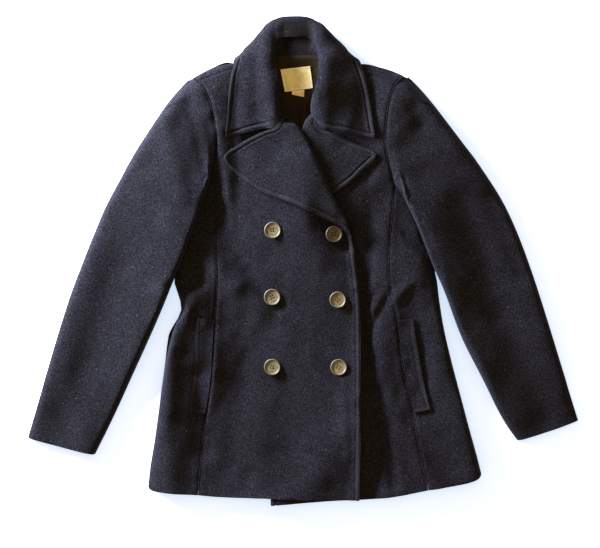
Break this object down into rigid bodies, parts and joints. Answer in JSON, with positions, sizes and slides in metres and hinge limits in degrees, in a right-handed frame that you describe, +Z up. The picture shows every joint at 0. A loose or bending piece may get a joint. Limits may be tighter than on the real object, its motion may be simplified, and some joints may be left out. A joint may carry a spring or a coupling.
{
  "type": "pea coat",
  "caption": "Double-breasted pea coat laid flat on its back and closed, with broad notched collar and lapels, princess seams, welt pockets, long sleeves and sew-through buttons.",
  "frame": {"origin": "on the ground under the middle of the coat's box", "axes": "+Z up from the back to the front of the coat, +Y from the hem to the collar, +X to the wearer's left"},
  "size_m": [0.879, 0.7776, 0.0378],
  "materials": {
    "melton_wool": "fuzzy milled wool, matt",
    "lining": "smooth twill, slight sheen",
    "label_ribbon": "woven ribbon, satin",
    "button_horn": "mottled horn, satin polish"
  },
  "bodies": {
    "root": {"back": "melton_wool", "right_front_centre": "melton_wool", "left_front_centre": "melton_wool", "right_front_side": "melton_wool", "left_front_side": "melton_wool", "right_sleeve_top": "melton_wool", "left_sleeve_top": "melton_wool", "right_sleeve_under": "melton_wool", "left_sleeve_under": "melton_wool", "collar_stand": "melton_wool", "collar": "melton_wool", "left_lapel": "melton_wool", "right_lapel": "melton_wool", "right_pocket_welt": "melton_wool", "left_pocket_welt": "melton_wool", "neck_lining": "lining", "label": "label_ribbon", "size_tab": "label_ribbon", "button_1": "button_horn", "button_2": "button_horn", "button_3": "button_horn", "button_4": "button_horn", "button_5": "button_horn", "button_6": "button_horn"}
  },
  "joints": []
}
